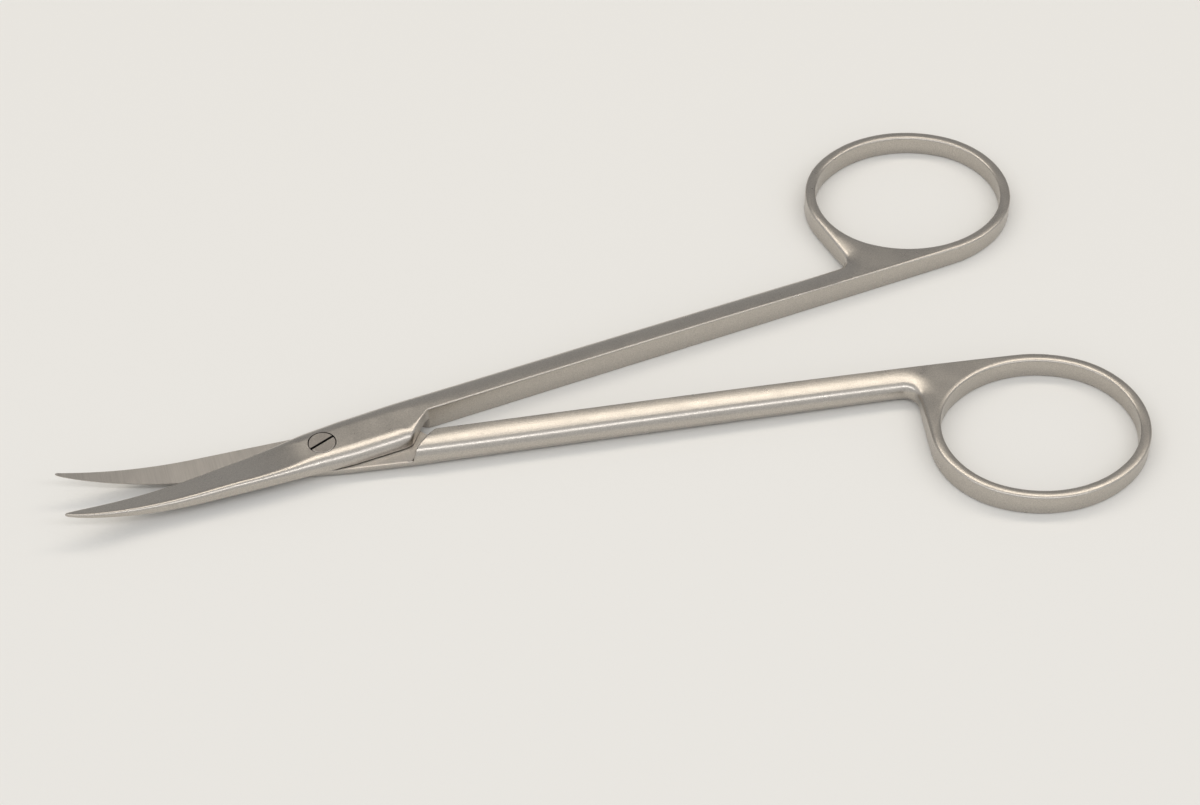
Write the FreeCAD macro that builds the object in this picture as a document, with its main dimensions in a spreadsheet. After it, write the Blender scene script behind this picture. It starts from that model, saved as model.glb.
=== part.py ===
import FreeCAD, Part
import math
import os
import Sketcher

# Curved dissecting scissors: two forged halves that cross in a lap joint, and one slotted screw.
# The origin is on the pivot axis, level with the surface that the scissors lie on.
# +X runs towards the finger rings, midway between the two shanks, and +Z is up.
# Each half is drawn closed, with its inner shank face along the X axis and its shank on the -Y side,
# and is then turned about the pivot to the angle at which the scissors rest. The upper half is the
# same drawing mirrored in Y, with its lap on top.

SIZES = (
    # The joint and the shanks
    ("thickness", 3.3, "full height of the closed joint and of the shanks beside it"),
    ("lap_gap", 0.1, "height of the running gap between the two lapped faces"),
    ("closing_gap", 0.1, "gap between the two inner shank faces when closed"),
    ("shank_width", 3.4, "inner face to rounded outer side, at the joint"),
    ("web_width", 3.1, "the same where the shank meets the ring"),
    ("side_round", 1.4, "radius along the outer side of a shank and both sides of the lap"),
    ("joint_half_width", 3.4, "pivot axis to either side of the lap"),
    ("shoulder_reach", 13.3, "pivot axis to the shoulder, along the inner face"),
    ("shoulder_run", 3.3, "how far the shoulder slopes back to the outer side"),
    ("shoulder_gap", 0.2, "gap between a shoulder and the other half's lap when closed"),
    ("shoulder_round", 1.5, "convex corner radius of the shoulder and the lap, seen from above"),
    ("lap_corner", 0.5, "concave corner radius between the lap and the inner face"),
    ("inner_edge_round", 0.15, "radius along the edges of the inner shank face"),
    ("rest_angle", 13.2, "angle in degrees between the inner shank faces at rest"),
    # The blades
    ("blade_root", 3.0, "pivot axis to where the blade starts to narrow, towards the shanks"),
    ("blade_reach", 30.5, "pivot axis to the tip"),
    ("curve_start", 14.8, "pivot axis to where the blade starts to curve upwards"),
    ("curve_radius", 50.0, "radius of the upward curve of the blade"),
    ("cutting_edge", 0.2, "height of the land behind the cutting edge"),
    ("tip_half_width", 0.18, "half the width of the blunted tip"),
    ("tip_height", 0.35, "height of the blade at its tip"),
    ("edge_taper", 0.63, "how the cutting side narrows: power of the length that is left"),
    ("lower_back_taper", 0.95, "the same for the back of the lower blade"),
    ("upper_back_taper", 0.6, "the same for the back of the upper blade"),
    ("full_height_share", 0.6, "share of the blade, from the tip, over which it gets thinner"),
    ("thinning", 1.3, "power of the thinning: above 1 starts gently"),
    ("back_round_share", 0.55, "radius along the back, as a share of the blade height"),
    ("bevel_start", 8.0, "pivot axis to where the cutting side is ground down to its land"),
    ("bevel_power", 1.5, "power of the fall from the lap to the land: above 1 ends gently"),
    # The finger rings
    ("ring_thickness", 2.8, "height of the ring beside the middle of its opening"),
    ("slimming_start", 30.0, "pivot axis to where the handle starts to get thinner"),
    ("ring_reach", 82.8, "pivot axis to the middle of a ring opening, along the shank"),
    ("ring_half_length", 11.8, "half the long axis of the opening"),
    ("ring_half_width", 10.3, "half the short axis of the opening"),
    ("ring_end_radius", 9.6, "radius of the two ends of the oval opening"),
    ("ring_band", 1.3, "width of the band round the opening"),
    ("ring_tilt", 6.4, "turn in degrees of the long axis away from the shank"),
    ("ring_outer_round", 0.45, "radius along the outer edges of the band"),
    ("web_round", 0.8, "radius along the upright edge where the ring meets the shank"),
    ("ring_inner_round", 0.25, "radius along the edges of the opening"),
    ("web_corner", 2.0, "concave corner between the shank and the ring, seen from above"),
    # The screw
    ("screw_head", 3.3, "diameter of the flush head"),
    ("head_height", 0.8, "height of the head"),
    ("head_gap", 0.04, "gap round and under the head"),
    ("pivot_pin", 2.2, "diameter of the plain neck that the upper half turns on"),
    ("pivot_clearance", 0.03, "radial clearance of the upper half on the neck"),
    ("thread_pin", 1.8, "diameter of the threaded end in the lower half"),
    ("thread_clearance", 0.01, "radial clearance of the threaded end"),
    ("end_recess", 0.05, "how far the screw's end lies above the underside"),
    ("slot_width", 0.3, "width of the driver slot"),
    ("slot_depth", 0.4, "depth of the driver slot"),
    ("slot_angle", 23.4, "turn in degrees of the slot at rest"),
)

doc = FreeCAD.newDocument("dissecting_scissors")
sheet = doc.addObject("Spreadsheet::Sheet", "sizes")
for row, (alias, value, meaning) in enumerate(SIZES, start=1):
    sheet.set("A%d" % row, alias)
    sheet.set("B%d" % row, str(value))
    sheet.set("C%d" % row, meaning)
    sheet.setAlias("B%d" % row, alias)
doc.recompute()


def size(alias):
    """One driving dimension, read from the sheet."""
    return float(sheet.get(alias))


THICKNESS = size("thickness")
LAP_LEVEL = THICKNESS / 2
LAP_HEIGHT = (THICKNESS - size("lap_gap")) / 2
INNER_FACE = -size("closing_gap") / 2
OUTER_SIDE = -size("shank_width")
JOINT_SIDE = size("joint_half_width")
BLADE_ROOT = size("blade_root")
BLADE_REACH = size("blade_reach")


# Outlines

def corner(point, before, after, radius):
    """The two tangent points of a rounded corner, and the middle of its arc between them."""
    to_before = (before - point).normalize()
    to_after = (after - point).normalize()
    half = to_before.getAngle(to_after) / 2
    start = point + to_before * (radius / math.tan(half))
    end = point + to_after * (radius / math.tan(half))
    inward = (to_before + to_after).normalize()
    middle = point + inward * (radius / math.sin(half) - radius)
    return start, middle, end


def chain(corners):
    """Lines through corners (x, y, radius), with an arc in each corner that has a radius."""
    places = [FreeCAD.Vector(x, y, 0) for x, y, radius in corners]
    pieces = []
    last = places[0]
    for index in range(1, len(corners) - 1):
        radius = corners[index][2]
        if radius:
            start, middle, end = corner(places[index], places[index - 1], places[index + 1], radius)
            pieces.append(Part.LineSegment(last, start))
            pieces.append(Part.Arc(start, middle, end))
            last = end
        else:
            pieces.append(Part.LineSegment(last, places[index]))
            last = places[index]
    pieces.append(Part.LineSegment(last, places[-1]))
    return pieces


def closed_chain(corners):
    """The same round a closed outline. The first corner has no radius."""
    return chain(corners + [corners[0]])


def round_arc(centre, start, end):
    """The arc about a centre from start to end, the short way round."""
    radius = (start - centre).Length
    middle = centre + ((start - centre) + (end - centre)).normalize() * radius
    return Part.Arc(start, middle, end)


def flipped(piece):
    """One line or arc mirrored in the X axis."""
    def turn(point):
        return FreeCAD.Vector(point.x, -point.y, 0)
    if isinstance(piece, Part.LineSegment):
        return Part.LineSegment(turn(piece.StartPoint), turn(piece.EndPoint))
    middle = piece.value((piece.FirstParameter + piece.LastParameter) / 2)
    return Part.Arc(turn(piece.StartPoint), turn(middle), turn(piece.EndPoint))


def ring_oval():
    """The middles of the two end arcs and the two side arcs of a ring opening."""
    tilt = math.radians(size("ring_tilt"))
    along = FreeCAD.Vector(math.cos(tilt), math.sin(tilt), 0)
    across = FreeCAD.Vector(-math.sin(tilt), math.cos(tilt), 0)
    end_offset = size("ring_half_length") - size("ring_end_radius")
    bulge = size("ring_half_width") - size("ring_end_radius")
    side_offset = (end_offset ** 2 - bulge ** 2) / (2 * bulge)
    side_radius = size("ring_half_width") + side_offset
    # The outside of the band touches the line of the inner shank face
    drop = side_radius + size("ring_band") - side_offset * across.y
    middle = FreeCAD.Vector(size("ring_reach"), INNER_FACE - drop, 0)
    return {
        "toe": middle + along * end_offset,
        "heel": middle - along * end_offset,
        "inner_side": middle - across * side_offset,
        "outer_side": middle + across * side_offset,
        "side_radius": side_radius,
    }


def oval_points(ring, grow):
    """Where the side arcs of the oval, grown by a distance, run into its end arcs."""
    radius = ring["side_radius"] + grow
    points = {}
    for side in ("inner_side", "outer_side"):
        for end in ("heel", "toe"):
            away = (ring[end] - ring[side]).normalize()
            points[side, end] = ring[side] + away * radius
    return points


def opening_outline():
    """The four tangent arcs of the finger opening."""
    ring = ring_oval()
    points = oval_points(ring, 0)
    return [
        round_arc(ring["inner_side"], points["inner_side", "heel"], points["inner_side", "toe"]),
        round_arc(ring["toe"], points["inner_side", "toe"], points["outer_side", "toe"]),
        round_arc(ring["outer_side"], points["outer_side", "toe"], points["outer_side", "heel"]),
        round_arc(ring["heel"], points["outer_side", "heel"], points["inner_side", "heel"]),
    ]


def handle_outline():
    """The outline of the lap, the shank and the ring, and the rounding of the edge over each piece.

    A piece with no rounding given blends from the rounding before it to the rounding after it.
    """
    ring = ring_oval()
    points = oval_points(ring, size("ring_band"))
    end_radius = size("ring_end_radius") + size("ring_band")
    top = FreeCAD.Vector(ring["inner_side"].x, INNER_FACE, 0)
    heel = ring["heel"] - FreeCAD.Vector(end_radius, 0, 0)
    lap_end = size("shoulder_reach") - size("shoulder_gap")
    fine = size("inner_edge_round")
    side = size("side_round")
    band = size("ring_outer_round")
    pieces = chain([
        (BLADE_ROOT, JOINT_SIDE, 0),
        (lap_end - size("shoulder_run"), JOINT_SIDE, size("shoulder_round")),
        (lap_end, INNER_FACE, size("lap_corner")),
        (top.x, top.y, 0),
    ])
    rounding = [side, None, fine, fine, fine]
    pieces.append(round_arc(ring["inner_side"], top, points["inner_side", "toe"]))
    pieces.append(round_arc(ring["toe"], points["inner_side", "toe"], points["outer_side", "toe"]))
    pieces.append(round_arc(ring["outer_side"], points["outer_side", "toe"], points["outer_side", "heel"]))
    pieces.append(round_arc(ring["heel"], points["outer_side", "heel"], heel))
    rounding += [None, band, band, None]
    pieces += chain([
        (heel.x, heel.y, 0),
        (heel.x, -size("web_width"), size("web_corner")),
        (BLADE_ROOT, OUTER_SIDE, 0),
        (BLADE_ROOT, JOINT_SIDE, 0),
    ])
    rounding += [size("web_round"), None, side, 0]
    return pieces, rounding


def recess_outline():
    """What is cut away to half height: everything on the blade side of the shoulder."""
    reach = size("shoulder_reach")
    far = 2 * JOINT_SIDE
    slope = size("shoulder_run") / (INNER_FACE - OUTER_SIDE)
    return closed_chain([
        (BLADE_ROOT - 1, far, 0),
        (reach + far, far, 0),
        (reach + far, INNER_FACE, 0),
        (reach, INNER_FACE, size("shoulder_round")),
        (reach - slope * (far + INNER_FACE), -far, 0),
        (BLADE_ROOT - 1, -far, 0),
    ])


def slimmed_level(x):
    """The height of the upper face at x: level at first, then falling on a large arc."""
    drop = THICKNESS - size("ring_thickness")
    run = size("ring_reach") - size("slimming_start")
    radius = (run ** 2 + drop ** 2) / (2 * drop)
    past = max(0.0, x - size("slimming_start"))
    return THICKNESS - radius + math.sqrt(radius ** 2 - past ** 2)


def slimming_outline():
    """What is cut away above the falling upper face, seen from the side."""
    start = size("slimming_start")
    far = size("ring_reach") + 2 * size("ring_half_length")
    middle = (start + far) / 2
    begin = FreeCAD.Vector(start, THICKNESS, 0)
    end = FreeCAD.Vector(far, slimmed_level(far), 0)
    fall = Part.Arc(begin, FreeCAD.Vector(middle, slimmed_level(middle), 0), end)
    return [fall] + chain([
        (end.x, end.y, 0),
        (far, 2 * THICKNESS, 0),
        (start, 2 * THICKNESS, 0),
        (start, THICKNESS, 0),
    ])


# The blades

def blade_section(x, back_taper, lap_level, outward):
    """The corners of a blade's cross-section at x, as (y, z, radius), for a ring on the -Y side.

    The cutting edge is on the -Y side. The lapped face is at lap_level, and the outer face lies
    above it for outward = 1 or below it for outward = -1.
    """
    left = (x + BLADE_REACH) / (BLADE_ROOT + BLADE_REACH)
    tip = size("tip_half_width")
    cutting_side = -(tip + (JOINT_SIDE - tip) * left ** size("edge_taper"))
    back = tip + (JOINT_SIDE - tip) * left ** back_taper
    # The height of the back falls over the outer part of the blade
    share = min(1.0, left / size("full_height_share"))
    tip_height = size("tip_height")
    height = tip_height + (LAP_HEIGHT - tip_height) * (1 - (1 - share) ** size("thinning"))
    # The cutting side is ground down from the full lap to a thin land
    unground = max(0.0, (x + size("bevel_start")) / (BLADE_ROOT + size("bevel_start")))
    land = size("cutting_edge")
    edge_height = land + (LAP_HEIGHT - land) * unground ** size("bevel_power")
    # The whole blade curves upwards
    past = max(0.0, -x - size("curve_start"))
    radius = size("curve_radius")
    level = lap_level + radius - math.sqrt(radius ** 2 - past ** 2)
    side_share = size("side_round") / LAP_HEIGHT
    back_share = size("back_round_share") + (side_share - size("back_round_share")) * unground
    return [
        (cutting_side, level, 0),
        (cutting_side, level + outward * edge_height, side_share * edge_height),
        (back, level + outward * height, back_share * height),
        (back, level, 0),
    ]


SECTION_COUNT = 11
SECTION_STEP = (BLADE_ROOT + BLADE_REACH) / (SECTION_COUNT - 1)
STATIONS = [BLADE_ROOT - SECTION_STEP * step for step in range(SECTION_COUNT)]


# Features

def plane_of(body, role):
    """The origin plane of a body that has the given role."""
    return [item for item in body.Origin.OriginFeatures if item.Role == role][0]


def draw(body, name, role, loops, offset=0.0):
    """A sketch on one of a body's origin planes, its closed loops joined end to end."""
    sketch = body.newObject("Sketcher::SketchObject", name)
    sketch.AttachmentSupport = (plane_of(body, role), [""])
    sketch.MapMode = "FlatFace"
    sketch.AttachmentOffset = FreeCAD.Placement(FreeCAD.Vector(0, 0, offset), FreeCAD.Rotation())
    for pieces in loops:
        first = sketch.GeometryCount
        for piece in pieces:
            sketch.addGeometry(piece, False)
        for index in range(len(pieces)):
            here = first + index
            following = first + (index + 1) % len(pieces)
            near, far = touching_ends(sketch, here, following)
            sketch.addConstraint(Sketcher.Constraint("Coincident", here, near, following, far))
    return sketch


def touching_ends(sketch, here, following):
    """Which ends (1 start, 2 end) of two neighbouring pieces lie on each other."""
    best = None
    for near in (1, 2):
        for far in (1, 2):
            apart = (sketch.getPoint(here, near) - sketch.getPoint(following, far)).Length
            if best is None or apart < best[0]:
                best = (apart, near, far)
    return best[1], best[2]


def new_body(name):
    """A PartDesign body."""
    return doc.addObject("PartDesign::Body", name)


def handle_body(name, flip):
    """The lap, shank and ring of a half, thinner towards the ring."""
    body = new_body(name)
    pieces, rounding = handle_outline()
    opening = opening_outline()
    if flip:
        pieces = [flipped(piece) for piece in pieces]
        opening = [flipped(piece) for piece in opening]
    pad = body.newObject("PartDesign::Pad", name + "_pad")
    pad.Profile = draw(body, name + "_outline", "XY_Plane", [pieces, opening])
    pad.setExpression("Length", "sizes.thickness")
    doc.recompute()
    full = body.Shape.Volume
    slimming = body.newObject("PartDesign::Pocket", name + "_slimming")
    slimming.Profile = draw(body, name + "_slimming_outline", "XZ_Plane", [slimming_outline()])
    slimming.Type = "ThroughAll"
    slimming.Midplane = True
    doc.recompute()
    if not 0.85 * full < body.Shape.Volume < 0.99 * full:
        raise RuntimeError("%s does not get thinner towards its ring" % name)
    return body, pieces, rounding, opening


def edge_number(shape, point):
    """The number, counted from 1, of the edge of a shape that a point lies on."""
    spot = Part.Vertex(point)
    distances = [edge.distToShape(spot)[0] for edge in shape.Edges]
    return distances.index(min(distances)) + 1


def rounded_handle(name, flip):
    """The handle with its upper and lower edges rounded."""
    body, pieces, rounding, opening = handle_body(name + "_handle", flip)
    wanted = list(zip(pieces, rounding))
    wanted += [(piece, size("ring_inner_round")) for piece in opening]
    edges = {}
    for piece, radius in wanted:
        if not radius:
            continue
        # The long pieces are two edges above, so both of their ends are asked for
        for share in (0.05, 0.95):
            place = piece.value(piece.FirstParameter + share * (piece.LastParameter - piece.FirstParameter))
            for height in (0, slimmed_level(place.x)):
                number = edge_number(body.Shape, place + FreeCAD.Vector(0, 0, height))
                edges[number] = radius
    fillet = doc.addObject("Part::Fillet", name + "_rounded")
    fillet.Base = body
    fillet.Edges = [(number, radius, radius) for number, radius in sorted(edges.items())]
    doc.recompute()
    return fillet


def recess_body(name, flip, on_top):
    """The space that the other half's lap takes up, with the running gap."""
    body = new_body(name + "_recess")
    pieces = recess_outline()
    if flip:
        pieces = [flipped(piece) for piece in pieces]
    pad = body.newObject("PartDesign::Pad", name + "_recess_pad")
    pad.Profile = draw(body, name + "_recess_outline", "XY_Plane", [pieces])
    pad.setExpression("Length", "sizes.thickness")
    # An upper recess starts at the lower half's lapped face, and a lower one ends at the upper half's
    above = "(sizes.thickness - sizes.lap_gap) / 2"
    below = "-" + above
    body.setExpression("Placement.Base.z", above if on_top else below)
    doc.recompute()
    return body


def blade_body(name, flip, back_taper, lap_level, outward):
    """A blade lofted through its cross-sections from the root to the tip."""
    body = new_body(name + "_blade")
    sketches = []
    for number, x in enumerate(STATIONS):
        corners = blade_section(x, back_taper, lap_level, outward)
        if flip:
            corners = [(-y, z, radius) for y, z, radius in corners]
        sketches.append(draw(body, "%s_section_%d" % (name, number), "YZ_Plane", [closed_chain(corners)], x))
    loft = body.newObject("PartDesign::AdditiveLoft", name + "_loft")
    loft.Profile = sketches[0]
    loft.Sections = sketches[1:]
    loft.Ruled = False
    doc.recompute()
    return body


def cylinder(name, radius, height, base):
    """An upright cylinder on the pivot axis. Its three sizes are expressions."""
    solid = doc.addObject("Part::Cylinder", name)
    solid.setExpression("Radius", radius)
    solid.setExpression("Height", height)
    solid.setExpression("Placement.Base.z", base)
    return solid


def cut(name, base, tool):
    """A boolean cut."""
    result = doc.addObject("Part::Cut", name)
    result.Base = base
    result.Tool = tool
    return result


def half(name, flip, on_top, back_taper, bores, angle):
    """One half: rounded handle, less the recess, joined to its blade, less its bores."""
    handle = rounded_handle(name, flip)
    lap_level = THICKNESS - LAP_HEIGHT if on_top else LAP_HEIGHT
    blade = blade_body(name, flip, back_taper, lap_level, 1 if on_top else -1)
    lapped = cut(name + "_lapped", handle, recess_body(name, flip, not on_top))
    forging = doc.addObject("Part::MultiFuse", name + "_forging")
    forging.Shapes = [lapped, blade]
    result = forging
    for number, bore in enumerate(bores):
        result = cut("%s_bore_%d" % (name, number), result, bore)
    result.Label = name
    result.setExpression("Placement.Rotation.Angle", angle)
    doc.recompute()
    return result


# The three pieces

lower_bores = [
    cylinder("thread_bore", "sizes.thread_pin / 2 + sizes.thread_clearance",
             "sizes.thickness * 2", "-sizes.thickness / 2"),
]
upper_bores = [
    cylinder("neck_bore", "sizes.pivot_pin / 2 + sizes.pivot_clearance",
             "sizes.thickness * 2", "-sizes.thickness / 2"),
    cylinder("head_seat", "sizes.screw_head / 2 + sizes.head_gap",
             "sizes.thickness", "sizes.thickness - sizes.head_height - sizes.head_gap"),
]
lower_half = half("lower_half", False, False, size("lower_back_taper"), lower_bores, "-sizes.rest_angle / 2")
upper_half = half("upper_half", True, True, size("upper_back_taper"), upper_bores, "sizes.rest_angle / 2")

# The screw is one turned piece: head, neck and threaded end, with a driver slot across its head
screw = new_body("screw_body")
top = THICKNESS
head_under = THICKNESS - size("head_height")
neck_under = LAP_HEIGHT
profile = closed_chain([
    (0, top, 0),
    (size("screw_head") / 2, top, 0),
    (size("screw_head") / 2, head_under, 0),
    (size("pivot_pin") / 2, head_under, 0),
    (size("pivot_pin") / 2, neck_under, 0),
    (size("thread_pin") / 2, neck_under, 0),
    (size("thread_pin") / 2, size("end_recess"), 0),
    (0, size("end_recess"), 0),
])
turned = screw.newObject("PartDesign::Revolution", "screw_turned")
turned.Profile = draw(screw, "screw_profile", "XZ_Plane", [profile])
turned.ReferenceAxis = (turned.Profile[0], ["V_Axis"])
turned.Angle = 360
doc.recompute()
slot_length = size("screw_head")
slot_outline = closed_chain([
    (-slot_length, -size("slot_width") / 2, 0),
    (slot_length, -size("slot_width") / 2, 0),
    (slot_length, size("slot_width") / 2, 0),
    (-slot_length, size("slot_width") / 2, 0),
])
slot = screw.newObject("PartDesign::Pocket", "screw_slot")
slot.Profile = draw(screw, "slot_outline", "XY_Plane", [slot_outline], top)
slot.setExpression("Length", "sizes.slot_depth")
screw.Label = "pivot_screw"
screw.setExpression("Placement.Rotation.Angle", "sizes.slot_angle")
doc.recompute()

pieces_made = [lower_half, upper_half, screw]
for item in doc.Objects:
    if "Invalid" in item.State or "Error" in item.State:
        raise RuntimeError("%s did not compute: %s" % (item.Name, item.State))
for piece in pieces_made:
    if piece.Shape.isNull() or not piece.Shape.isValid() or len(piece.Shape.Solids) != 1:
        raise RuntimeError("%s is not one valid solid" % piece.Label)
whole_screw = math.pi * (size("screw_head") / 2) ** 2 * size("head_height")
whole_screw += math.pi * (size("pivot_pin") / 2) ** 2 * (head_under - neck_under)
whole_screw += math.pi * (size("thread_pin") / 2) ** 2 * (neck_under - size("end_recess"))
if not 0.8 * whole_screw < screw.Shape.Volume < 0.99 * whole_screw:
    raise RuntimeError("the driver slot is not cut into the head")

os.makedirs("parts", exist_ok=True)
for piece in pieces_made:
    piece.Shape.exportStep("parts/%s.step" % piece.Label)
    print(piece.Label, round(piece.Shape.Volume, 2), piece.Shape.BoundBox)
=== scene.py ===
"""Curved dissecting scissors: two satin steel halves on a slotted pivot screw.

Laid out as an add-on and run as a script. Every shape is worked out in millimetres in the frame of
the model (origin on the pivot axis, +X towards the finger rings, +Z up) and stored in metres.
"""

import math

import bmesh
import bpy
import numpy as np
from bpy.props import FloatProperty, PointerProperty, StringProperty
from mathutils import Matrix, Vector
from mathutils.geometry import delaunay_2d_cdt


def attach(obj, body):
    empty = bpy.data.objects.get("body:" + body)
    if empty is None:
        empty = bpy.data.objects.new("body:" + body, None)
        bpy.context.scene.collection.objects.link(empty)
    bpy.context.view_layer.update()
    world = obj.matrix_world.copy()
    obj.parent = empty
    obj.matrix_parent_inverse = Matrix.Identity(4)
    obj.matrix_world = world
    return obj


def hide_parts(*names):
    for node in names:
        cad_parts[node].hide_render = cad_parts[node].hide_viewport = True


bl_info = {
    "name": "Dissecting scissors",
    "version": (1, 0, 0),
    "blender": (4, 5, 0),
    "location": "3D View > Sidebar > Scissors",
    "description": "Builds the two halves, the pivot screw and the table they lie on",
    "category": "Add Mesh",
}

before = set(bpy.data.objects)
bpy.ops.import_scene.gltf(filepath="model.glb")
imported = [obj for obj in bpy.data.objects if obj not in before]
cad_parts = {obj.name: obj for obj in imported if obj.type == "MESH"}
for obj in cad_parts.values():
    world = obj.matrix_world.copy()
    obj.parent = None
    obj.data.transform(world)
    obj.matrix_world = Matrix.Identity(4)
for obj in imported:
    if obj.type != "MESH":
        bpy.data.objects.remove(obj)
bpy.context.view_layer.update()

MM = 0.001
UP = Vector((0, 0, 1))


def mm(value):
    """Millimetres as Blender's metres."""
    return value * MM


# Settings

class ScissorsSizes(bpy.types.PropertyGroup):
    """The sizes that a user would change."""
    thickness: FloatProperty(
        name="Thickness", description="Height of the closed joint and of the shanks beside it",
        default=mm(3.3), unit="LENGTH")
    ring_thickness: FloatProperty(
        name="Ring thickness", description="Height of a ring beside the middle of its opening",
        default=mm(2.8), unit="LENGTH")
    slimming_start: FloatProperty(
        name="Slimming start", description="Pivot axis to where the halves start to get thinner",
        default=mm(30.0), unit="LENGTH")
    lap_gap: FloatProperty(
        name="Lap gap", description="Gap between the two lapped faces", default=mm(0.1), unit="LENGTH")
    closing_gap: FloatProperty(
        name="Closing gap", description="Gap between the inner shank faces when closed",
        default=mm(0.1), unit="LENGTH")
    shank_width: FloatProperty(
        name="Shank width", description="Middle line to the rounded outer side, at the joint",
        default=mm(3.4), unit="LENGTH")
    web_width: FloatProperty(
        name="Web width", description="The same where the shank meets the ring",
        default=mm(3.1), unit="LENGTH")
    joint_half_width: FloatProperty(
        name="Joint half width", description="Pivot axis to either side of the lap",
        default=mm(3.35), unit="LENGTH")
    rest_angle: FloatProperty(
        name="Rest angle", description="Angle between the shanks as they lie",
        default=math.radians(13.2), unit="ROTATION", subtype="ANGLE")
    blade_reach: FloatProperty(
        name="Blade reach", description="Pivot axis to the tips", default=mm(30.5), unit="LENGTH")
    curve_start: FloatProperty(
        name="Curve start", description="Pivot axis to where the blades start to curve upwards",
        default=mm(14.8), unit="LENGTH")
    curve_radius: FloatProperty(
        name="Curve radius", description="Radius of the upward curve of the blades",
        default=mm(50.0), unit="LENGTH")
    shoulder_reach: FloatProperty(
        name="Shoulder reach", description="Pivot axis to the shoulder, along the inner face",
        default=mm(13.3), unit="LENGTH")
    ring_reach: FloatProperty(
        name="Ring reach", description="Pivot axis to the middle of a finger opening",
        default=mm(82.8), unit="LENGTH")
    ring_half_length: FloatProperty(
        name="Opening half length", description="Half the long axis of a finger opening",
        default=mm(11.8), unit="LENGTH")
    ring_half_width: FloatProperty(
        name="Opening half width", description="Half the short axis of a finger opening",
        default=mm(10.3), unit="LENGTH")
    ring_band: FloatProperty(
        name="Ring band", description="Width of the band round a finger opening",
        default=mm(1.3), unit="LENGTH")
    screw_head: FloatProperty(
        name="Screw head", description="Diameter of the flush screw head", default=mm(3.16), unit="LENGTH")
    slot_width: FloatProperty(
        name="Slot width", description="Width of the driver slot", default=mm(0.32), unit="LENGTH")
    slot_angle: FloatProperty(
        name="Slot angle", description="Turn of the driver slot away from the long axis",
        default=math.radians(23.4), unit="ROTATION", subtype="ANGLE")


class ScissorsColours(bpy.types.PropertyGroup):
    """The colours that a user would change, as sRGB hex values."""
    steel: StringProperty(
        name="Satin steel", description="Colour of the bead-blasted stainless steel", default="#C6C0B8")
    ground: StringProperty(
        name="Ground steel", description="Colour of the ground lapped faces", default="#BDB8B2")
    screw: StringProperty(
        name="Screw steel", description="Colour of the screw", default="#BDB6AE")
    table: StringProperty(
        name="Table", description="Colour of the plain surface that the scissors lie on", default="#E9E8E5")


def millimetres():
    """The sizes in millimetres, angles in radians."""
    sizes = bpy.context.scene.scissors_sizes
    angles = ("rest_angle", "slot_angle")
    names = ScissorsSizes.__annotations__
    return {name: getattr(sizes, name) * (1 if name in angles else 1000) for name in names}


# Curves and profiles

# Normals are sampled finely near the flat faces, where a highlight slides furthest
TILTS = np.radians([0, 2, 5, 8, 11.5, 15, 20, 26, 33, 41, 50, 60, 70, 80, 90])
CROWN_ANGLE = math.radians(15)


def ease(x, start, end):
    """0 before start, 1 after end, and 3t^2 - 2t^3 between them. Start may be larger than end."""
    share = np.clip((x - start) / (end - start), 0, 1)
    return share * share * (3 - 2 * share)


def lower_of(a, b, blend):
    """The smaller of two curves, with a rounded corner: the mean less half of sqrt(gap^2 + blend^2)."""
    return (a + b - np.sqrt((a - b) ** 2 + blend ** 2)) / 2


def edge_round(side, crown):
    """A rounded edge at each tilt in TILTS, for side and crown radii given as columns.

    Two tangent arcs: from the face to CROWN_ANGLE with the crown radius, and on to the side with the
    side radius. Returns the distance in from the side and the drop below the face.
    """
    sine, cosine = math.sin(CROWN_ANGLE), math.cos(CROWN_ANGLE)
    crowned = TILTS <= CROWN_ANGLE
    along = np.where(crowned, crown * np.sin(TILTS), crown * sine + side * (np.sin(TILTS) - sine))
    past_crown = crown * (1 - cosine) + side * (cosine - np.cos(TILTS))
    drop = np.where(crowned, crown * (1 - np.cos(TILTS)), past_crown)
    return edge_width(side, crown) - along, drop


def edge_width(side, crown):
    """How far in from the side the rounded edge starts."""
    sine = math.sin(CROWN_ANGLE)
    return crown * sine + side * (1 - sine)


def edge_drop(inward, side, crown):
    """The drop below the face at a distance in from the side: edge_round solved the other way."""
    sine, cosine = math.sin(CROWN_ANGLE), math.cos(CROWN_ANGLE)
    along = edge_width(side, crown) - np.clip(inward, 0, edge_width(side, crown))
    on_crown = crown - np.sqrt(np.maximum(crown ** 2 - along ** 2, 0))
    past = along - (crown - side) * sine
    on_side = crown - (crown - side) * cosine - np.sqrt(np.maximum(side ** 2 - past ** 2, 0))
    return np.where(along <= crown * sine, on_crown, on_side)


def shared(start, end, shares):
    """Points between two columns at the given shares."""
    return start + (end - start) * np.asarray(shares)


# Fixed sizes in millimetres, with places measured along X from the pivot axis

# Where a blade starts, and where the shank passes into the web
ROOT, WEB_START = 3.0, 58.0
# The lengths over which the shoulder and the end of the lap cross the shank, the gap between them,
# the power of both curves, the round at the foot of the shoulder and where it meets the outer side
SHOULDER_RUN, LAP_RUN, SHOULDER_GAP, SHOULDER_POWER = 3.3, 3.2, 0.12, 1.3
SHOULDER_FOOT, SHOULDER_BLEND, LAP_BLEND = 0.2, 0.25, 0.5
SHOULDER_FADE, FADE_POWER = 0.7, 0.7
# The tip of a blade, how far it leans to its cutting side, and the height of the cutting edge
TIP_HALF_WIDTH, TIP_HEIGHT, TIP_ROUND, TIP_LEAN, LAND = 0.12, 0.35, 0.3, 0.17, 0.2
# Half the width of a blade's root on the cutting side, and the powers that taper its two sides
CUTTING_SIDE, CUTTING_POWER = 3.2, 0.66
LOWER_BACK, UPPER_BACK = 0.95, 0.6
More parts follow.
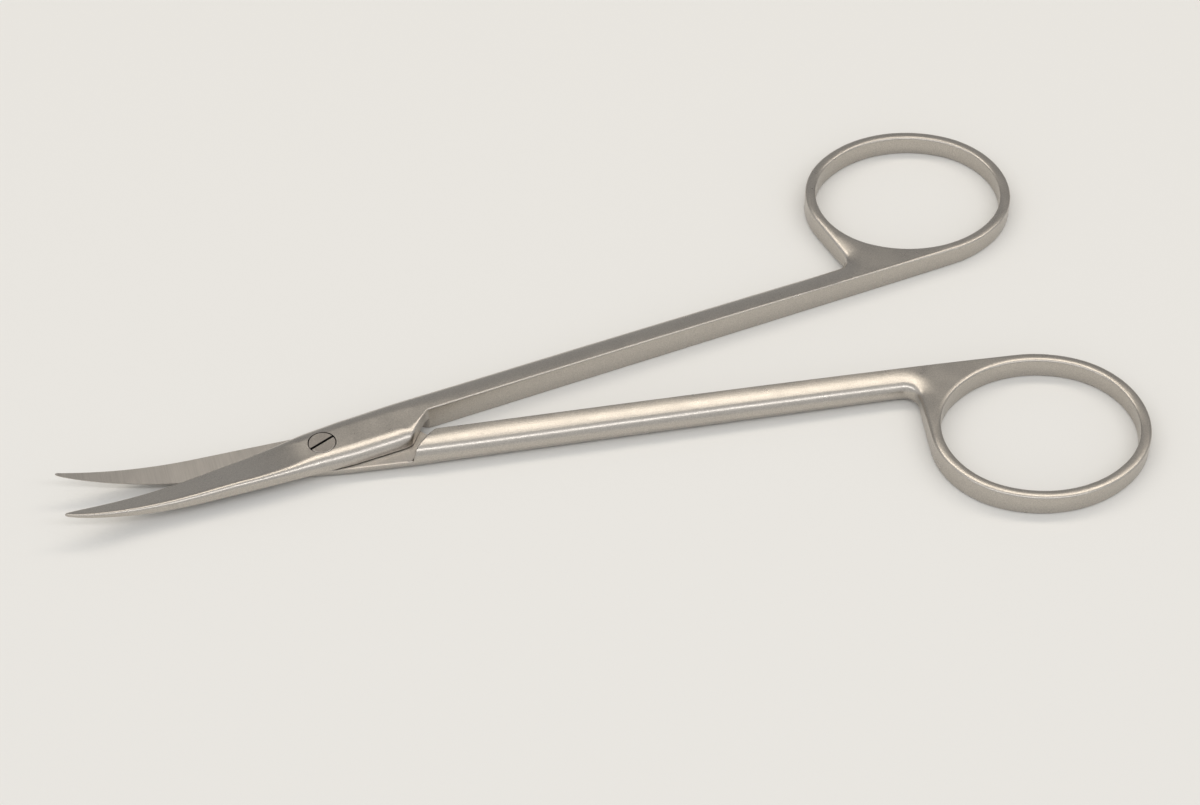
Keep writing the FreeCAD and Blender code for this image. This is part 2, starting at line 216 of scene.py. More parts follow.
# The back gets lower over this share of the blade, and the grind slopes between these places
THINNING_SHARE, THINNING_POWER = 0.6, 1.3
BEVEL_START, BEVEL_END, BEVEL_POWER = -1.8, -9.0, 1.5
# Side and crown radii of the rounded edges. Those of a blade's back are shares of its height
SHANK_SIDE, SHANK_CROWN = 1.35, 7.5
JOINT_SIDE, JOINT_CROWN = 1.4, 3.4
BACK_SIDE, BACK_CROWN = 0.55, 0.8
RING_SIDE, RING_CROWN = 0.3, 1.5
RIM_SIDE, HEEL_SIDE = 0.35, 0.7
INNER_ROUND, LAPPED_ROUND = 0.18, 0.09
# The lean of the ring's heel, and the radius of the concave corner above it
HEEL_LEAN, WEB_CORNER = math.radians(3.5), 1.6
# The turn of a finger opening's long axis, and the radius of its ends as a share of its half width
RING_TILT, RING_END_SHARE = math.radians(6.4), 0.932
# The screw: radii of the neck and thread, the head, the slot, and the gaps round them
NECK, THREAD = 1.1, 0.9
HEAD_HEIGHT, HEAD_CHAMFER, SLOT_DEPTH = 0.8, 0.05, 0.4
END_CHAMFER, END_GAP = 0.12, 0.05
HEAD_GAP, SEAT_GAP, NECK_GAP, THREAD_GAP = 0.09, 0.04, 0.03, 0.01


# The bar: shank, joint and blade as cross-sections along X


def bar_stations(s):
    """Where the cross-sections lie: close together at the tip and at the shoulder."""
    tip, shoulder = -s["blade_reach"], s["shoulder_reach"]
    return np.concatenate([
        tip + TIP_ROUND * (1 - np.cos(np.linspace(0, math.pi / 2, 8))),
        np.arange(tip + 2 * TIP_ROUND, -14, 0.4),
        np.arange(-14, shoulder - 4.9, 0.7),
        np.arange(shoulder - 4.9, shoulder + 0.9, 0.06),
        np.arange(shoulder + 0.9, 18, 0.6),
        np.linspace(18, WEB_START, 14),
    ])


def outer_line(s, x):
    """The outer side of a shank, which runs straight from the root of the blade to the web."""
    ring = ring_oval(s)
    heel = ring["heel"][0] - ring["end_radius"] - s["ring_band"]
    return -s["shank_width"] + (s["shank_width"] - s["web_width"]) * (x - ROOT) / (heel - ROOT)


def bar_outline(s, x, back_power):
    """The sides of the bar seen from above, for a half whose ring is on the -Y side.

    From the root of the blade both sides close in on the tip as a power of the length that is left,
    and the tip leans a little to the cutting side. The lap ends, and the shoulder starts, along a
    curve that is the power SHOULDER_POWER of the way past it.
    """
    inner = -s["closing_gap"] / 2
    half = s["joint_half_width"]
    left = np.clip((x + s["blade_reach"]) / (ROOT + s["blade_reach"]), 0, 1)
    cutting = TIP_HALF_WIDTH + (CUTTING_SIDE - TIP_HALF_WIDTH) * left ** CUTTING_POWER
    cutting = cutting + TIP_LEAN * (1 - left) ** 4
    back = TIP_HALF_WIDTH + (half - TIP_HALF_WIDTH) * left ** back_power - TIP_LEAN * (1 - left)
    joined = ease(x, ROOT, 12)
    outer_side = np.where(x < ROOT, -cutting, outer_line(s, x) * joined - CUTTING_SIDE * (1 - joined))
    past_shoulder = np.clip((s["shoulder_reach"] - x) / SHOULDER_RUN, 0, 3) ** SHOULDER_POWER
    wall = -lower_of((inner - outer_side) * past_shoulder - inner, -outer_side, SHOULDER_BLEND)
    past_lap = np.clip((s["shoulder_reach"] - SHOULDER_GAP - x) / LAP_RUN, 0, 2) ** SHOULDER_POWER
    lap_blend = LAP_BLEND * ease(past_lap, 0.3, 0.9) + 1e-4
    lap_end = lower_of(inner + (half - inner) * past_lap, half + 0 * x, lap_blend)
    lap_side = np.where(x < ROOT, back, lap_end)
    return outer_side, lap_side, wall


def bar_sections(s, back_power):
    """The bar as a grid of points: one closed loop of (y, z) for each station along X.

    The loop runs over the lower face, up the inner side, across the lapped face to the foot of the
    shoulder, up the shoulder, over the upper face and down the outer side. Where there is no
    shoulder its points fall together at the edge of the lapped face.
    """
    x = bar_stations(s)[:, None]
    full = s["thickness"]
    lap = (full - s["lap_gap"]) / 2
    outer, inner, wall = bar_outline(s, x, back_power)
    tip_x = -s["blade_reach"]
    left = np.clip((x - tip_x) / (ROOT - tip_x), 0, 1)
    share = np.clip(left / THINNING_SHARE, 0, 1)
    back_height = TIP_HEIGHT + (lap - TIP_HEIGHT) * (1 - (1 - share) ** THINNING_POWER)
    unground = np.clip((x - BEVEL_END) / (BEVEL_START - BEVEL_END), 0, 1)
    edge_height = LAND + (lap - LAND) * unground ** BEVEL_POWER
    # The end of the blade is rounded off
    close = np.sqrt(np.clip(1 - ((tip_x + TIP_ROUND - x) / TIP_ROUND).clip(0, 1) ** 2, 0, 1))
    middle = (outer + inner) / 2
    outer = middle + (outer - middle) * close
    inner = middle + (inner - middle) * close
    back_height = back_height * close
    edge_height = edge_height * close
    # Edge radii, which pass from those of the shank to those of the joint and on to the blade's
    shoulder = s["shoulder_reach"]
    in_shank = ease(x, ROOT, 22)
    side = JOINT_SIDE + (SHANK_SIDE - JOINT_SIDE) * in_shank
    crown = JOINT_CROWN + (SHANK_CROWN - JOINT_CROWN) * in_shank
    side = np.where(x < ROOT, JOINT_SIDE / lap * edge_height, side)
    crown = np.where(x < ROOT, JOINT_CROWN / lap * edge_height, crown)
    on_blade = ease(x, ROOT, -8)
    back_side = (JOINT_SIDE / lap * (1 - on_blade) + BACK_SIDE * on_blade) * back_height
    back_crown = (JOINT_CROWN / lap * (1 - on_blade) + BACK_CROWN * on_blade) * back_height
    at_lap = ease(x, shoulder - 0.7, shoulder - 4.7)
    inner_side = np.where(x < ROOT, back_side, INNER_ROUND + (JOINT_SIDE - INNER_ROUND) * at_lap)
    inner_crown = np.where(x < ROOT, back_crown, INNER_ROUND + (JOINT_CROWN - INNER_ROUND) * at_lap)

    def face(y):
        """The lower face, which slopes from the back to the cutting edge of the blade."""
        slope = (back_height - edge_height) / np.maximum(inner - outer, 1e-6)
        return lap - np.where(x < ROOT, edge_height + slope * (y - outer), lap)

    def point_run(y, z):
        y, z = np.broadcast_arrays(y, z)
        return np.stack([y, z], axis=-1)

    in_outer, drop_outer = edge_round(side, crown)
    in_inner, drop_inner = edge_round(inner_side, inner_crown)
    face_start = outer + edge_width(side, crown)
    face_end = inner - edge_width(inner_side, inner_crown)
    y = shared(face_start, face_end, [0.05, 0.3, 0.5, 0.7, 0.95])
    runs = [point_run(y, face(y))]
    y = inner - in_inner
    inner_corner = point_run(y, face(y) + drop_inner)
    runs.append(inner_corner)
    wall_foot = inner_corner[:, -1:, 1]
    runs.append(point_run(inner, shared(wall_foot, lap, [0.5, 1])))
    # The lapped face and the shoulder, whose height fades out where it reaches the outer side
    presence = np.clip((wall - outer - 0.02) / SHOULDER_FADE, 0, 1) ** FADE_POWER * (x > ROOT)
    lapped_edge = LAPPED_ROUND * ease(x, -8, ROOT) * (1 - np.clip(3 * presence, 0, 1))
    wall = np.maximum(wall, outer + lapped_edge)
    oblique = 1 + 0.45 * ease(x, shoulder + 0.6, shoulder - 0.5)
    top_at_wall = full - edge_drop(wall - outer, side, crown)
    height = (top_at_wall - lap) * presence
    is_shank = ease(x, shoulder + 0.3, shoulder + 0.7)
    foot = np.minimum(SHOULDER_FOOT, 0.4 * height) * (1 - is_shank)
    rim = np.minimum(INNER_ROUND, 0.4 * height)
    foot_y = np.minimum(wall + foot * oblique, inner)
    runs.append(point_run(shared(inner, foot_y, [0.03, 0.25, 0.5, 0.75, 0.97]), lap))
    turn = np.radians([0, 22, 45, 68, 90])
    runs.append(point_run(foot_y - (foot_y - wall) * np.sin(turn), lap + foot * (1 - np.cos(turn))))
    clip = wall - rim * oblique
    top_at_clip = lap + (full - edge_drop(clip - outer, side, crown) - lap) * presence
    runs.append(point_run(wall - rim * oblique * (1 - np.sin(TILTS[::-1])),
                          top_at_clip - rim + rim * np.cos(TILTS[::-1])))
    # The upper face and the outer side
    across_face = shared(wall - rim, face_start, [0.1, 0.5, 0.9])
    y = np.concatenate([across_face, outer + in_outer], axis=1)
    y = np.maximum(np.minimum(y, clip), outer + lapped_edge)
    z = lap + (full - edge_drop(y - outer, side, crown) - lap) * presence
    runs.append(point_run(y, z))
    quarter = np.radians([30, 60, 90])
    runs.append(point_run(outer + lapped_edge * (1 - np.sin(quarter)),
                          lap - lapped_edge * (1 - np.cos(quarter))))
    y = (outer + in_outer)[:, ::-1]
    runs.append(point_run(y, face(y) + drop_outer[:, ::-1]))
    loop = np.concatenate(runs, axis=1)
    counts = [run.shape[1] for run in runs]
    return x[:, 0], loop, counts


# The handle: an edge profile carried along the outline of the web and ring

def arc(centre, radius, start, end, count):
    """Points on an arc from the start to the end angle, and their unit vectors away from its centre."""
    angle = np.linspace(start, end, count)
    away = np.stack([np.cos(angle), np.sin(angle)], axis=1)
    return centre + radius * away, away


def angle_of(vector):
    """The angle of a vector in the XY plane."""
    return math.atan2(vector[1], vector[0])


def ring_oval(s):
    """The centres and side radius of the four-arc oval of a finger opening."""
    along = np.array([math.cos(RING_TILT), math.sin(RING_TILT)])
    across = np.array([-along[1], along[0]])
    end_radius = s["ring_half_width"] * RING_END_SHARE
    end_offset = s["ring_half_length"] - end_radius
    bulge = s["ring_half_width"] - end_radius
    side_offset = (end_offset ** 2 - bulge ** 2) / (2 * bulge)
    side_radius = s["ring_half_width"] + side_offset
    drop = side_radius + s["ring_band"] - side_offset * across[1]
    middle = np.array([s["ring_reach"], -s["closing_gap"] / 2 - drop])
    return {
        "toe": middle + along * end_offset,
        "heel": middle - along * end_offset,
        "inner_side": middle - across * side_offset,
        "outer_side": middle + across * side_offset,
        "side_radius": side_radius,
        "end_radius": end_radius,
    }


def opening_path(s):
    """Points round a finger opening and the unit vectors from it into the band: four tangent arcs."""
    ring = ring_oval(s)
    to_toe = angle_of(ring["toe"] - ring["inner_side"])
    to_heel = angle_of(ring["heel"] - ring["inner_side"])
    past_toe = angle_of(ring["toe"] - ring["outer_side"])
    past_heel = angle_of(ring["heel"] - ring["outer_side"])
    turn = 2 * math.pi
    parts = [
        arc(ring["inner_side"], ring["side_radius"], to_heel, to_toe, 28),
        arc(ring["toe"], ring["end_radius"], to_toe, past_toe, 40),
        arc(ring["outer_side"], ring["side_radius"], past_toe, past_heel, 28),
        arc(ring["heel"], ring["end_radius"], past_heel, to_heel - turn, 40),
    ]
    points = np.concatenate([part[0][:-1] for part in parts])
    away = np.concatenate([part[1][:-1] for part in parts])
    return points, away


def handle_path(s):
    """The outline of the web and ring with its inward unit vectors and the radii of its edge.

    It runs along the inner face, round the ring, up the heel and through the concave corner to the
    outer side of the shank.
    """
    ring = ring_oval(s)
    inner, outer = -s["closing_gap"] / 2, -s["web_width"]
    band = s["ring_band"]
    side, end = ring["side_radius"] + band, ring["end_radius"] + band
    to_toe = angle_of(ring["toe"] - ring["inner_side"])
    past_toe = angle_of(ring["toe"] - ring["outer_side"])
    past_heel = angle_of(ring["heel"] - ring["outer_side"])
    # The heel leans towards the ring as it rises to the concave corner
    rise = np.array([math.sin(HEEL_LEAN), math.cos(HEEL_LEAN)])
    into = np.array([rise[1], -rise[0]])
    foot = ring["heel"] - end * into
    heel_length = (outer - WEB_CORNER - foot[1] + WEB_CORNER * into[1]) / rise[1]
    heel_end = foot + heel_length * rise
    bend_centre = heel_end - WEB_CORNER * into
    start = np.stack([np.linspace(WEB_START, ring["inner_side"][0], 14), np.full(14, inner)], axis=1)
    down = np.tile([0.0, -1.0], (14, 1))
    heel_up = foot + np.linspace(0, heel_length, 5)[:, None] * rise
    right = np.tile(into, (5, 1))
    back_x = np.linspace(bend_centre[0], WEB_START, 6)
    back = np.stack([back_x, outer_line(s, back_x)], axis=1)
    up = np.tile([0.0, 1.0], (6, 1))
    bend, bend_away = arc(bend_centre, WEB_CORNER, -HEEL_LEAN, math.pi / 2, 14)
    rounds = [
        arc(ring["inner_side"], side, math.pi / 2, to_toe, 24),
        arc(ring["toe"], end, to_toe, past_toe, 44),
        arc(ring["outer_side"], side, past_toe, past_heel, 30),
        arc(ring["heel"], end, past_heel, -math.pi - HEEL_LEAN, 26),
    ]
    points = np.concatenate([start] + [part[0] for part in rounds] + [heel_up, bend, back])
    inward = np.concatenate([down] + [-part[1] for part in rounds] + [right, bend_away, up])
    step = np.linalg.norm(np.diff(points, axis=0), axis=1)
    keep = np.concatenate([[True], step > 1e-6])
    points, inward = points[keep], inward[keep]
    # The edge grows from crisp along the inner face to crowned round the ring, and is as full as the
    # shank's at the corner. Its radii change over lengths measured along the path
    length = np.concatenate([[0], np.cumsum(np.linalg.norm(np.diff(points, axis=0), axis=1))])
    heel_at, corner_at, bend_end = (
        length[np.argmin(np.abs(points - place).sum(axis=1))]
        for place in (foot, heel_end, bend_centre + (0, WEB_CORNER)))
    ring_start = ring["inner_side"][0] - WEB_START
    on_ring = ease(length, ring_start - 12, ring_start + 6)
    side_radius = INNER_ROUND + (RIM_SIDE - INNER_ROUND) * on_ring
    side_radius = side_radius + (HEEL_SIDE - RIM_SIDE) * ease(length, heel_at - 6, corner_at)
    crown_radius = INNER_ROUND + (RING_CROWN - INNER_ROUND) * on_ring
    at_bend = ease(length, corner_at - 1, bend_end + 1)
    side_radius = side_radius + (SHANK_SIDE - side_radius) * at_bend
    up_heel = ease(length, heel_at + 2, corner_at + 1.5)
    crown_radius = crown_radius + (SHANK_CROWN - crown_radius) * up_heel
    return points, inward, side_radius, crown_radius


def edge_strip(s, points, inward, side, crown):
    """The rounded edge carried along a path: a grid of points from the upper face to the lower one."""
    full = s["thickness"]
    lap = (full - s["lap_gap"]) / 2
    side, crown = side[:, None], crown[:, None]
    distance, drop = edge_round(side, crown)
    middle = np.full((len(points), 1), lap)
    zero = np.zeros_like(middle)
    inset = np.concatenate([distance, zero, zero, distance[:, ::-1]], axis=1)
    lower = (middle + drop[:, -1:]) / 2
    height = np.concatenate([full - drop, middle, lower, drop[:, ::-1]], axis=1)
    place = points[:, None, :] + inward[:, None, :] * inset[:, :, None]
    return np.concatenate([place, height[:, :, None]], axis=2)


def inside(points, loop):
    """Which points lie inside a closed loop, by counting the edges that a ray along +X crosses."""
    x, y = points[:, 0, None], points[:, 1, None]
    ax, ay = loop[:, 0], loop[:, 1]
    bx, by = np.roll(ax, -1), np.roll(ay, -1)
    crosses = (ay > y) != (by > y)
    rise = np.where(by == ay, 1, by - ay)
    at = ax + (y - ay) / rise * (bx - ax)
    return (crosses & (x < at)).sum(axis=1) % 2 == 1


def flat_fill(loop, hole, z):
    """A flat face between an outer loop and the loop of a hole, as triangles."""
    flat = np.concatenate([loop, hole])
    edges = [(i, (i + 1) % len(loop)) for i in range(len(loop))]
    edges += [(len(loop) + i, len(loop) + (i + 1) % len(hole)) for i in range(len(hole))]
    result = delaunay_2d_cdt([Vector(point) for point in flat.tolist()], edges, [], 1, 1e-6)
    points = np.array([(point.x, point.y) for point in result[0]])
    triangles = np.array(result[2])
    centres = points[triangles].mean(axis=1)
    triangles = triangles[inside(centres, loop) & ~inside(centres, hole)]
    return np.column_stack([points, np.full(len(points), z)]), triangles


# Meshes

class Shell:
    """Collects grids and triangles with a material number for each, and makes one closed mesh."""

    def __init__(self):
        self.points, self.faces, self.finishes, self.total = [], [], [], 0

    def add(self, points, faces, finishes):
        """Adds points (n, 3), faces as an index array, and a finish number for each face."""
        self.points.append(points.reshape(-1, 3))
        self.faces += (faces + self.total).tolist()
        self.finishes += np.broadcast_to(finishes, len(faces)).tolist()
        self.total += points.reshape(-1, 3).shape[0]

    def grid(self, points, closed=False, finishes=0):
        """Adds a grid of points (rows, columns, 3). Closed joins the last column to the first."""
        rows, columns = points.shape[:2]
        number = np.arange(rows * columns).reshape(rows, columns)
        if closed:
            number = np.concatenate([number, number[:, :1]], axis=1)
        faces = np.stack([number[:-1, :-1], number[:-1, 1:], number[1:, 1:], number[1:, :-1]], axis=-1)
        finish = np.broadcast_to(finishes, faces.shape[1])
        self.add(points, faces.reshape(-1, 4), np.tile(finish, faces.shape[0]))

    def fan(self, loop, centre):
        """Closes a loop of points with triangles to its centre."""
        count = len(loop)
        number = np.arange(count)
        faces = np.stack([number, np.roll(number, -1), np.full(count, count)], axis=1)
        self.add(np.concatenate([loop, [centre]]), faces, 0)

    def mesh(self, name, materials):
        """One mesh in metres, its seams merged and its faces turned outwards."""
        mesh = bpy.data.meshes.new(name)
        mesh.from_pydata((np.concatenate(self.points) * MM).tolist(), [], self.faces)
        mesh.polygons.foreach_set("material_index", self.finishes)
        for material in materials:
            mesh.materials.append(material)
        work = bmesh.new()
        work.from_mesh(mesh)
        bmesh.ops.remove_doubles(work, verts=work.verts, dist=mm(0.003))
        bmesh.ops.dissolve_degenerate(work, edges=work.edges, dist=mm(0.001))
        bmesh.ops.recalc_face_normals(work, faces=work.faces)
        work.to_mesh(mesh)
        work.free()
        return mesh


def lathe(profile, count=96):
    """A profile of (radius, height) pairs turned about the pivot axis, as a grid of points."""
    profile = np.asarray(profile, float)
    angle = np.linspace(0, 2 * math.pi, count, endpoint=False)
    radius, height = profile[:, :1], profile[:, 1:]
    return np.stack([radius * np.cos(angle), radius * np.sin(angle), height + 0 * angle], axis=-1)


def turned(points, angle):
    """Points turned about the pivot axis."""
    cosine, sine = math.cos(angle), math.sin(angle)
    x, y = points[..., 0].copy(), points[..., 1].copy()
    result = points.copy()
    result[..., 0] = x * cosine - y * sine
    result[..., 1] = x * sine + y * cosine
    return result


def slimming(s, x):
    """How far the upper face has fallen at x: R - sqrt(R^2 - d^2) at a distance d past its start."""
    drop = s["thickness"] - s["ring_thickness"]
    run = s["ring_reach"] - s["slimming_start"]
    radius = (run ** 2 + drop ** 2) / (2 * drop)
    past = np.clip(x - s["slimming_start"], 0, None)
    return radius - np.sqrt(radius ** 2 - past ** 2)


def place_half(points, s, on_top):
    """A half from the pose it is worked out in to the pose at rest.

    The upper half is the lower one rolled over about the X axis. Both handles then get thinner
    towards the ring, and both blades curve upwards along an arc, z + R - sqrt(R^2 - d^2) at a
    distance d past its start. Last, the half is turned.
    """
    result = points.copy()
    if on_top:
        result[..., 1] = -result[..., 1]
        result[..., 2] = s["thickness"] - result[..., 2]
    result[..., 2] *= 1 - slimming(s, result[..., 0]) / s["thickness"]
    past = np.clip(-result[..., 0] - s["curve_start"], 0, None)
    radius = s["curve_radius"]
    result[..., 2] += radius - np.sqrt(radius ** 2 - past ** 2)
    return turned(result, s["rest_angle"] / 2 * (1 if on_top else -1))


def half_mesh(name, s, on_top, back_power, materials):
    """The closed surface of one half: bar, web and ring."""
    shell = Shell()
    x, loop, counts = bar_sections(s, back_power)
    points = np.concatenate([np.broadcast_to(x[:, None, None], loop.shape[:2] + (1,)), loop], axis=2)
    lap_first = sum(counts[:2])
    lap_last = sum(counts[:4])
    finishes = np.zeros(loop.shape[1], int)
    finishes[lap_first + 1:lap_last] = 1
    shell.grid(place_half(points, s, on_top), closed=True, finishes=finishes)
    tip = points[0]
    shell.fan(place_half(tip, s, on_top), place_half(tip.mean(axis=0), s, on_top))
    # Web and ring
    path, inward, side, crown = handle_path(s)
    rim = edge_strip(s, path, inward, side, crown)
    shell.grid(place_half(rim, s, on_top))
    hole, away = opening_path(s)
    whole = np.ones(len(hole))
    bore = edge_strip(s, hole, away, RING_SIDE * whole, RING_CROWN * whole)
    bore = np.concatenate([bore, bore[:1]])
    shell.grid(place_half(bore, s, on_top))
    upper_run = loop[-1][sum(counts[:6]):sum(counts[:7])][:3]
    lower_run = loop[-1][:counts[0]]
    for column, run, z in ((0, upper_run[::-1], s["thickness"]), (-1, lower_run, 0.0)):
        cross = np.column_stack([np.full(len(run), WEB_START), run[:, 0]])
        edge = np.concatenate([rim[:, column, :2], cross])
        flat, triangles = flat_fill(edge, bore[:-1, column, :2], z)
        shell.add(place_half(flat, s, on_top), triangles, 0)
    return shell.mesh(name, materials)


def drilled(mesh, cutter):
    """The mesh less a closed cutter: an exact boolean difference."""
    body = bpy.data.objects.new("drilled", mesh)
    tool = bpy.data.objects.new("cutter", cutter)
    for item in (body, tool):
        bpy.context.scene.collection.objects.link(item)
    modifier = body.modifiers.new("bore", "BOOLEAN")
    modifier.operation = "DIFFERENCE"
    modifier.solver = "EXACT"
    modifier.material_mode = "TRANSFER"
    modifier.object = tool
    bpy.context.view_layer.update()
    graph = bpy.context.evaluated_depsgraph_get()
    result = bpy.data.meshes.new_from_object(body.evaluated_get(graph))
    bpy.data.objects.remove(body)
    bpy.data.objects.remove(tool)
    if len(result.polygons) < len(mesh.polygons) / 2:
        raise RuntimeError("the bore took away too much of " + mesh.name)
    result.name = mesh.name
    return result


def bore_cutter(profile, material):
    """A closed cutter turned from a profile that starts and ends on the axis."""
    shell = Shell()
    shell.grid(lathe(profile), closed=True)
    return shell.mesh("cutter", [material])


def show_piece(name, mesh, body, node):
    """Puts a finished mesh into the scene as a piece that rides on a body and replaces a node."""
    mesh.shade_smooth()
    mesh.set_sharp_from_angle(angle=math.radians(30))
    item = bpy.data.objects.new(name, mesh)
    bpy.context.scene.collection.objects.link(item)
    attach(item, body)
    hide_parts(node)
    return item


# The screw

def screw_head(s):
    """The slotted face and rim of the head: rows of chords across the disc, dropped inside the slot.

    A row at distance v from the slot's middle line runs from -sqrt(r^2 - v^2) to +sqrt(r^2 - v^2).
    """
    radius = s["screw_head"] / 2
    top = s["thickness"]
    half = s["slot_width"] / 2
    flat = radius - HEAD_CHAMFER
    angle = np.linspace(-math.pi / 2, -math.asin(half / flat), 26)
    side = flat * np.sin(angle)
    v = np.concatenate([side, [-half, 0, half], -side[::-1]])
    drop = np.concatenate([0 * side, [SLOT_DEPTH] * 3, 0 * side])
    u = np.linspace(-1, 1, 33)
    chord = np.sqrt(np.maximum(flat ** 2 - v ** 2, 0))
    x = chord[:, None] * np.sin(u * math.pi / 2)
    face = np.stack(np.broadcast_arrays(x, v[:, None], (top - drop)[:, None]), axis=-1)
    # The rim runs out to the full radius and down, on both ends of each row
    outward = radius / flat
    rims = []
    for end in (0, -1):
        first = face[:, end]
        wide = first * (outward, outward, 1)
        chamfered = wide - (0, 0, HEAD_CHAMFER)
        chamfered[:, 2] = np.minimum(chamfered[:, 2], first[:, 2])
        under = wide.copy()
        under[:, 2] = top - HEAD_HEIGHT
        rims.append(np.stack([first, chamfered, under], axis=1))
    return face, rims


def screw_mesh(s, materials):
    """The screw: slotted head, neck and threaded end with a chamfer. The slot has its own material, painted
    shade.
    """
    shell = Shell()
    face, rims = screw_head(s)
    angle = s["slot_angle"]
    middle = len(face) // 2
    # Finish 1, the slot's faces, is the painted shade material
    for rows, finish in ((slice(0, middle - 1), 0), (slice(middle - 2, middle + 3), 1),
                         (slice(middle + 2, None), 0)):
        shell.grid(turned(face[rows], angle), finishes=finish)
    for rim in rims:
        shell.grid(turned(rim, angle))
    top = s["thickness"]
    lap = (top - s["lap_gap"]) / 2
    under = np.concatenate([rims[0][:, 2], rims[1][::-1, 2]])
    ring = turned(under, angle)
    keep = np.linalg.norm(np.diff(ring, axis=0, append=ring[:1]), axis=1) > 1e-6
    ring = ring[keep]
    bearing = np.arctan2(ring[:, 1], ring[:, 0])
    profile = [(NECK, top - HEAD_HEIGHT), (NECK, lap), (THREAD, lap), (THREAD, END_GAP + END_CHAMFER),
               (THREAD - END_CHAMFER, END_GAP), (0.0, END_GAP)]
    rows = [ring] + [np.column_stack([r * np.cos(bearing), r * np.sin(bearing), np.full(len(ring), z)])
                     for r, z in profile]
    shell.grid(np.stack(rows), closed=True)
    return shell.mesh("pivot_screw_dressed", materials)


# Materials

def linear(hexadecimal):
    """An sRGB hex colour as linear red, green, blue and alpha."""
    values = [int(hexadecimal[i:i + 2], 16) / 255 for i in (1, 3, 5)]
    return [v / 12.92 if v <= 0.04045 else ((v + 0.055) / 1.055) ** 2.4 for v in values] + [1]


def node(tree, kind, settings=(), links=()):
    """Adds a node with its settings and its links from other nodes' outputs."""
    item = tree.nodes.new(kind)
    for key, value in dict(settings).items():
        if isinstance(key, int) or key in item.inputs and not hasattr(item, key):
            item.inputs[key].default_value = value
        else:
            setattr(item, key, value)
    for key, source in dict(links).items():
        tree.links.new(source, item.inputs[key])
    return item


# The part of a noise's range that is spread over a setting
NOISE_SPAN = {"From Min": 0.3, "From Max": 0.7}


def new_material(name):
    """An empty node material and its node tree."""
    material = bpy.data.materials.new(name)
    material.use_nodes = True
    material.node_tree.nodes.clear()
    return material, material.node_tree


def blasted_steel(name, colour):
    """Bead-blasted stainless steel, which gives the eye soft broad highlights and a fine even grain.

    The grain is 0.14 mm, coarser than the real 0.05 mm beads leave, so that it shows. The finish is
    a little cloudy over 3 mm, as handled steel is.
    """
    material, tree = new_material(name)
    place = node(tree, "ShaderNodeTexCoord").outputs["Object"]
    grain = node(tree, "ShaderNodeTexNoise",
                 {"Scale": 1 / mm(0.14), "Detail": 1.0, "Roughness": 0.5}, {"Vector": place})
    cloud = node(tree, "ShaderNodeTexNoise",
                 {"Scale": 1 / mm(3.0), "Detail": 3.0, "Roughness": 0.55}, {"Vector": place})
    rough = node(tree, "ShaderNodeMapRange", {**NOISE_SPAN, "To Min": 0.27, "To Max": 0.33},
                 {"Value": cloud.outputs["Fac"]})
    shade = node(tree, "ShaderNodeMapRange", {**NOISE_SPAN, "To Min": 0.8, "To Max": 1.0},
                 {"Value": grain.outputs["Fac"]})
    tint = node(tree, "ShaderNodeVectorMath", {"operation": "SCALE", 0: linear(colour)[:3]},
                {"Scale": shade.outputs["Result"]})
    bump = node(tree, "ShaderNodeBump", {"Strength": 0.6, "Distance": mm(0.012)},
                {"Height": grain.outputs["Fac"]})
    shader = node(tree, "ShaderNodeBsdfPrincipled", {"Metallic": 1.0},
                  {"Base Color": tint.outputs["Vector"], "Roughness": rough.outputs["Result"],
                   "Normal": bump.outputs["Normal"]})
    node(tree, "ShaderNodeOutputMaterial", (), {"Surface": shader.outputs["BSDF"]})
    return material


def ground_steel(name, colour):
    """Wheel-ground stainless steel, which gives the eye fine straight lines across the blade.

    The lines are 0.08 mm apart across the blade and 3 mm long.
    """
    material, tree = new_material(name)
    place = node(tree, "ShaderNodeTexCoord").outputs["Object"]
    stretch = node(tree, "ShaderNodeMapping",
                   {"Rotation": (0, 0, math.radians(-14)),
                    "Scale": (1 / mm(0.08), 1 / mm(3.0), 1 / mm(3.0))},
                   {"Vector": place})
    lines = node(tree, "ShaderNodeTexNoise", {"Scale": 1.0, "Detail": 3.0, "Roughness": 0.6},
                 {"Vector": stretch.outputs["Vector"]})
    rough = node(tree, "ShaderNodeMapRange", {**NOISE_SPAN, "To Min": 0.3, "To Max": 0.42},
                 {"Value": lines.outputs["Fac"]})
    shade = node(tree, "ShaderNodeMapRange", {**NOISE_SPAN, "To Min": 0.85, "To Max": 1.0},
                 {"Value": lines.outputs["Fac"]})
    tint = node(tree, "ShaderNodeVectorMath", {"operation": "SCALE", 0: linear(colour)[:3]},
                {"Scale": shade.outputs["Result"]})
    bump = node(tree, "ShaderNodeBump", {"Strength": 0.15, "Distance": mm(0.01)},
                {"Height": lines.outputs["Fac"]})
    shader = node(tree, "ShaderNodeBsdfPrincipled", {"Metallic": 1.0},
                  {"Base Color": tint.outputs["Vector"], "Roughness": rough.outputs["Result"],
                   "Normal": bump.outputs["Normal"]})
    node(tree, "ShaderNodeOutputMaterial", (), {"Surface": shader.outputs["BSDF"]})
    return material


